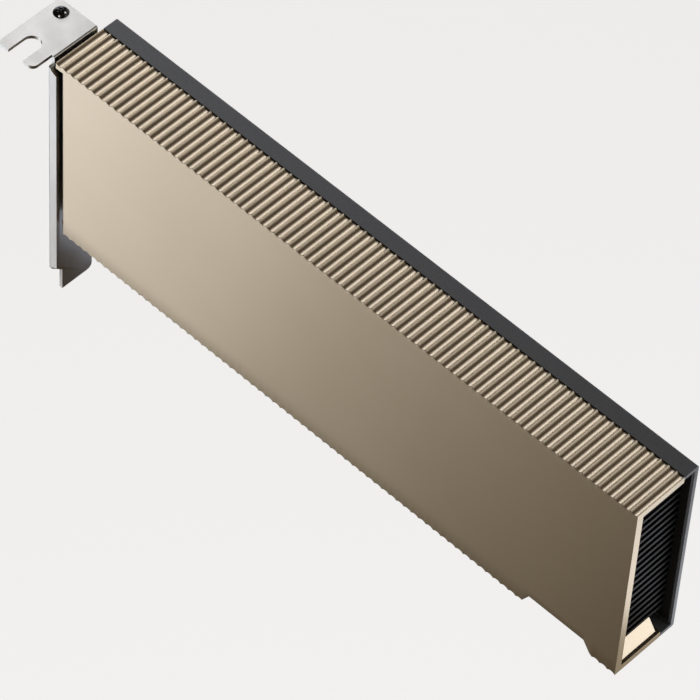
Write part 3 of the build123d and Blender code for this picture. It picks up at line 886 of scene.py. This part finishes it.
# %% [markdown]
# ## Circuit board
#
# The board is a glass and epoxy laminate under a dark green solder mask. Copper tracks run below the
# mask and show as raised, lighter lines, with small round vias between them. An image could carry
# that pattern, but it would need its own file. Here the tracks are stripes on Object coordinates:
# square cells decide by chance whether their stripes run along the card or up it. The cut edges show
# the bare laminate in thin layers.
#
# Such patterns are sums in Math nodes: a mask is 1 where a thing is and 0 elsewhere, and masks are
# added and multiplied as the words "and" and "or" would join them.

# %% Helpers for patterns


def maths(finish, operation, first, second=None):
    """One Math node, whose inputs are other nodes' outputs or plain numbers."""
    node = finish.node_tree.nodes.new("ShaderNodeMath")
    node.operation = operation
    for socket, value in zip(node.inputs, (first, second)):
        if isinstance(value, bpy.types.NodeSocket):
            finish.node_tree.links.new(value, socket)
        elif value is not None:
            socket.default_value = value
    return node.outputs[0]


def object_axes(finish):
    """Object coordinates x, y and z of the surface, in metres."""
    tree = finish.node_tree
    place = tree.nodes.new("ShaderNodeTexCoord")
    split = tree.nodes.new("ShaderNodeSeparateXYZ")
    tree.links.new(place.outputs["Object"], split.inputs[0])
    return split.outputs


def stripes(finish, axis, pitch, share, start=0.0):
    """1 on stripes that take a share of every pitch along an axis, else 0."""
    steps = maths(finish, "DIVIDE", maths(finish, "SUBTRACT", axis, start), pitch)
    return maths(finish, "LESS_THAN", maths(finish, "FRACT", steps), share)


def beyond(finish, axis, middle, reach):
    """1 where an axis is farther than reach from middle, else 0."""
    away = maths(finish, "ABSOLUTE", maths(finish, "SUBTRACT", axis, middle))
    return maths(finish, "GREATER_THAN", away, reach)


def without(finish, mask):
    """1 where the mask is 0, and 0 where it is 1."""
    return maths(finish, "SUBTRACT", 1.0, mask)


def mixed_colour(finish, mask, low, high):
    """A colour between low and high. Each is a colour, or the output of a node."""
    tree = finish.node_tree
    node = tree.nodes.new("ShaderNodeMix")
    node.data_type = "RGBA"
    tree.links.new(mask, node.inputs["Factor"])
    for socket, value in zip((node.inputs[6], node.inputs[7]), (low, high)):
        if isinstance(value, bpy.types.NodeSocket):
            tree.links.new(value, socket)
        else:
            socket.default_value = colour_of(value)
    return node.outputs[2]


def drive(finish, socket, output):
    """Lets a node's output drive one of the shader's sockets."""
    finish.node_tree.links.new(output, shader_of(finish).inputs[socket])


def ranged(finish, mask, low, high):
    """A number that goes from low to high as the mask goes from 0 to 1."""
    return maths(finish, "ADD", maths(finish, "MULTIPLY", mask, high - low), low)


def raised(finish, mask, depth):
    """Bump that lifts the surface by depth, in metres, where the mask is 1."""
    tree = finish.node_tree
    bump = tree.nodes.new("ShaderNodeBump")
    bump.inputs["Distance"].default_value = depth
    tree.links.new(mask, bump.inputs["Height"])
    drive(finish, "Normal", bump.outputs["Normal"])


# %% Solder mask over tracks
BOARD_LOW, BOARD_HIGH = (np.array(corner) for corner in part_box("circuit_board"))
BOARD_MIDDLE = (BOARD_LOW[1] + BOARD_HIGH[1]) / 2
BOARD_HALF = (BOARD_HIGH[1] - BOARD_LOW[1]) / 2
SKIN = 0.02 * MM
TRACK_PITCH = 0.6 * MM
TRACK_SHARE = 0.4
VIA_SPACING = 2.4 * MM
VIA_REACH = 0.14
AREA_SIZE = 6 * MM
LAYER_PITCH = 0.2 * MM
MASK_GREEN = (0.008, 0.042, 0.025)
TRACK_GREEN = (0.016, 0.075, 0.045)
GLASS = (0.30, 0.29, 0.16)
EPOXY = (0.20, 0.19, 0.10)
TIN = (0.62, 0.62, 0.60)


def cells(finish, size, metric, randomness=1.0):
    """Voronoi cells on Object coordinates, about size metres across."""
    tree = finish.node_tree
    place = tree.nodes.new("ShaderNodeTexCoord")
    node = tree.nodes.new("ShaderNodeTexVoronoi")
    node.distance = metric
    node.inputs["Scale"].default_value = 1 / size
    node.inputs["Randomness"].default_value = randomness
    tree.links.new(place.outputs["Object"], node.inputs["Vector"])
    return node


def tracked_laminate():
    """Solder mask over tracks and vias, with bare laminate on the edges."""
    finish = new_finish("board_laminate", MASK_GREEN, 0.3)
    x, y, z = object_axes(finish)
    choice = maths(finish, "GREATER_THAN", cells(finish, AREA_SIZE, "CHEBYCHEV").outputs["Color"], 0.5)
    along = maths(finish, "MULTIPLY", choice, stripes(finish, x, TRACK_PITCH, TRACK_SHARE))
    up = maths(finish, "MULTIPLY", without(finish, choice), stripes(finish, z, TRACK_PITCH, TRACK_SHARE))
    spots = cells(finish, VIA_SPACING, "EUCLIDEAN", 0.6).outputs["Distance"]
    via = maths(finish, "LESS_THAN", spots, VIA_REACH)
    copper = maths(finish, "MAXIMUM", maths(finish, "ADD", along, up), via)
    face = mixed_colour(finish, copper, MASK_GREEN, TRACK_GREEN)
    layers = mixed_colour(finish, stripes(finish, y, LAYER_PITCH, 0.3), GLASS, EPOXY)
    edge = without(finish, beyond(finish, y, BOARD_MIDDLE, BOARD_HALF - SKIN))
    drive(finish, "Base Color", mixed_colour(finish, edge, face, layers))
    drive(finish, "Roughness", ranged(finish, edge, 0.3, 0.75))
    raised(finish, copper, SKIN)
    return finish


softened("circuit_board", 0.04 * MM, tracked_laminate(), segments=1)
print("board thickness", round(2 * BOARD_HALF / MM, 3), "mm")

# %% [markdown]
# ## Edge contacts
#
# The contacts are copper with hard gold on top. Each insertion into a connector leaves fine streaks
# along the direction of travel, so the roughness varies in narrow bands that run up each contact.

# %% Gold contacts
gold = new_finish("gold_plating", (0.83, 0.62, 0.24), 0.25, metallic=1.0)
varied(gold, "Roughness", 0.18, 0.4, 0.25 * MM, stretch=(1, 1, 0.05))
varied(gold, "Base Color", (0.80, 0.58, 0.22), (0.88, 0.67, 0.29), 2 * MM)
for contacts in ("edge_contacts_front", "edge_contacts_back"):
    softened(contacts, 0.015 * MM, gold, segments=1)
print("finish", gold.name)

# %% [markdown]
# ## Processor, memory and chips
#
# The processor is a bare silicon die on its own small laminate, which carries rows of gold dots. The
# other chips are moulded in black resin, which is matt and slightly grainy, and stand on a row of
# tinned joints. The joints are too small to be solids of their own, so a stripe pattern on the
# lowest part of each chip stands for them.

# %% The processor's laminate
PACKAGE_GREEN = (0.010, 0.030, 0.018)
PACKAGE_EDGE = (0.17, 0.15, 0.08)
DOT_GOLD = (0.10, 0.08, 0.03)
DOT_PITCH = 1.2 * MM
PACKAGE_LOW, PACKAGE_HIGH = (np.array(corner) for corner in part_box("processor_substrate"))
PACKAGE_MIDDLE = (PACKAGE_LOW[1] + PACKAGE_HIGH[1]) / 2
PACKAGE_HALF = (PACKAGE_HIGH[1] - PACKAGE_LOW[1]) / 2
package = new_finish("package_laminate", PACKAGE_GREEN, 0.35)
dots = maths(package, "LESS_THAN", cells(package, DOT_PITCH, "EUCLIDEAN", 0.0).outputs["Distance"], 0.2)
dotted = mixed_colour(package, dots, PACKAGE_GREEN, DOT_GOLD)
flat_side = beyond(package, object_axes(package)[1], PACKAGE_MIDDLE, PACKAGE_HALF - SKIN)
drive(package, "Base Color", mixed_colour(package, flat_side, PACKAGE_EDGE, dotted))
raised(package, dots, 0.01 * MM)
softened("processor_substrate", 0.06 * MM, package)
print("laminate thickness", round(2 * PACKAGE_HALF / MM, 3), "mm")

# %% Silicon
silicon = new_finish("bare_silicon", (0.10, 0.10, 0.125), 0.1, metallic=0.6)
varied(silicon, "Base Color", (0.085, 0.085, 0.11), (0.12, 0.12, 0.145), 4 * MM)
varied(silicon, "Roughness", 0.06, 0.14, 1.5 * MM)
softened("processor_die", 0.03 * MM, silicon, segments=1)
print("finish", silicon.name)

# %% Resin over tinned joints
RESIN_BLACK = (0.022, 0.022, 0.023)
JOINT_HEIGHT = 0.18 * MM
JOINT_PITCH = 0.65 * MM
JOINT_SHARE = 0.45
resin = new_finish("chip_resin", RESIN_BLACK, 0.5)
resin_x, resin_y, resin_z = object_axes(resin)
at_board = maths(resin, "GREATER_THAN", resin_y, -JOINT_HEIGHT)
legs = stripes(resin, maths(resin, "ADD", resin_x, resin_z), JOINT_PITCH, JOINT_SHARE)
joints = maths(resin, "MULTIPLY", at_board, legs)
drive(resin, "Base Color", mixed_colour(resin, joints, RESIN_BLACK, TIN))
drive(resin, "Metallic", joints)
drive(resin, "Roughness", ranged(resin, joints, 0.5, 0.3))
grain(resin, 0.09 * MM, 0.006 * MM)
for chips in ("memory_chips", "power_stages", "power_controller", "management_chip", "firmware_chip"):
    softened(chips, 0.08 * MM, resin)
print("finish", resin.name)

# %% [markdown]
# ## Soft and sintered parts
#
# The pads and the paste that carry heat are soft, grey and full of fine filler. The inductors are
# pressed from iron powder, which leaves a dark speckle, and have a tinned strip at each end. The
# strips repeat with the power stages, so one stripe pattern places them all.

# %% Pads and paste
compound = new_finish("thermal_compound", (0.42, 0.43, 0.46), 0.75)
varied(compound, "Base Color", (0.37, 0.38, 0.41), (0.50, 0.51, 0.54), 0.35 * MM, detail=4)
grain(compound, 0.3 * MM, 0.02 * MM)
for soft in ("memory_pads", "power_stage_pads", "thermal_paste"):
    softened(soft, 0.04 * MM, compound, segments=1)
print("finish", compound.name)

# %% Inductors
STAGE_PITCH = 8 * MM
STRIP_WIDTH = 3 * MM
STRIP_HEIGHT = 1.1 * MM
STRIP_INSET = 1.8 * MM
STRIP_DEPTH = 0.1 * MM
INDUCTOR_LOW, INDUCTOR_HIGH = (np.array(corner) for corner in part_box("inductors"))
inductor_middle = (INDUCTOR_LOW[0] + INDUCTOR_HIGH[0]) / 2
inductor_reach = (INDUCTOR_HIGH[0] - INDUCTOR_LOW[0]) / 2 - STRIP_DEPTH
ferrite = new_finish("pressed_ferrite", (0.10, 0.10, 0.105), 0.6)
ferrite_x, ferrite_y, ferrite_z = object_axes(ferrite)
ends = beyond(ferrite, ferrite_x, inductor_middle, inductor_reach)
low_down = maths(ferrite, "GREATER_THAN", ferrite_y, -STRIP_HEIGHT)
strip_share = STRIP_WIDTH / STAGE_PITCH
strip = stripes(ferrite, ferrite_z, STAGE_PITCH, strip_share, start=INDUCTOR_LOW[2] + STRIP_INSET)
terminal = maths(ferrite, "MULTIPLY", ends, maths(ferrite, "MULTIPLY", low_down, strip))
speckle = noise_at(ferrite, 0.12 * MM, 4).outputs["Fac"]
powder = mixed_colour(ferrite, speckle, (0.05, 0.05, 0.055), (0.17, 0.17, 0.175))
drive(ferrite, "Base Color", mixed_colour(ferrite, terminal, powder, TIN))
drive(ferrite, "Metallic", terminal)
grain(ferrite, 0.15 * MM, 0.012 * MM)
softened("inductors", 0.3 * MM, ferrite, segments=3)
print("inductor length", round((INDUCTOR_HIGH[0] - INDUCTOR_LOW[0]) / MM, 3), "mm")

# %% [markdown]
# ## Capacitors and oscillator
#
# The bulk capacitors are moulded blocks with a pale band at the positive end. The ceramic ones are
# tan bricks with a tinned cap over each end, which repeats at their spacing along the card, so again
# stripes place the caps. The oscillator hides in a small drawn can.

# %% Bulk capacitors
MOULDED_BROWN = (0.075, 0.062, 0.05)
BAND_PALE = (0.45, 0.42, 0.36)
BAND_INSET = 0.9 * MM
BAND_HALF = 0.3 * MM
BULK_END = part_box("bulk_capacitors")[1][0]
moulded = new_finish("capacitor_body", MOULDED_BROWN, 0.5)
band = without(moulded, beyond(moulded, object_axes(moulded)[0], BULK_END - BAND_INSET, BAND_HALF))
drive(moulded, "Base Color", mixed_colour(moulded, band, MOULDED_BROWN, BAND_PALE))
drive(moulded, "Roughness", ranged(moulded, band, 0.5, 0.65))
grain(moulded, 0.1 * MM, 0.006 * MM)
softened("bulk_capacitors", 0.15 * MM, moulded)
print("finish", moulded.name)

# %% Ceramic capacitors
CAP_LENGTH = 1.6 * MM
CAP_END = 0.35 * MM
CAP_ROWS = {"ceramic_capacitors_front": 3.2 * MM, "ceramic_capacitors_back": 2.6 * MM}


def capped_ceramic(name, pitch, first):
    """Fired ceramic with tinned ends, for a row of capacitors from first on, one to a pitch."""
    finish = new_finish(name, (0.40, 0.29, 0.19), 0.45)
    along = object_axes(finish)[0]
    body = stripes(finish, along, pitch, (CAP_LENGTH - 2 * CAP_END) / pitch, start=first + CAP_END)
    firing = noise_at(finish, 0.5 * MM, 3).outputs["Fac"]
    fired = mixed_colour(finish, firing, (0.34, 0.24, 0.15), (0.46, 0.34, 0.23))
    drive(finish, "Base Color", mixed_colour(finish, body, TIN, fired))
    drive(finish, "Metallic", without(finish, body))
    drive(finish, "Roughness", ranged(finish, body, 0.3, 0.5))
    return finish


for row, pitch in CAP_ROWS.items():
    tan = capped_ceramic(f"{row}_body", pitch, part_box(row)[0][0])
    softened(row, 0.08 * MM, tan, segments=1)
print("rows of ceramic capacitors", len(CAP_ROWS))

# %% Oscillator can
can = new_finish("oscillator_can", (0.72, 0.72, 0.72), 0.25, metallic=1.0)
varied(can, "Roughness", 0.18, 0.34, 0.3 * MM, stretch=(0.1, 1, 1))
grain(can, 0.1 * MM, 0.001 * MM, stretch=(0.1, 1, 1))
softened("clock_oscillator", 0.12 * MM, can)
print("finishes", len(bpy.data.materials))
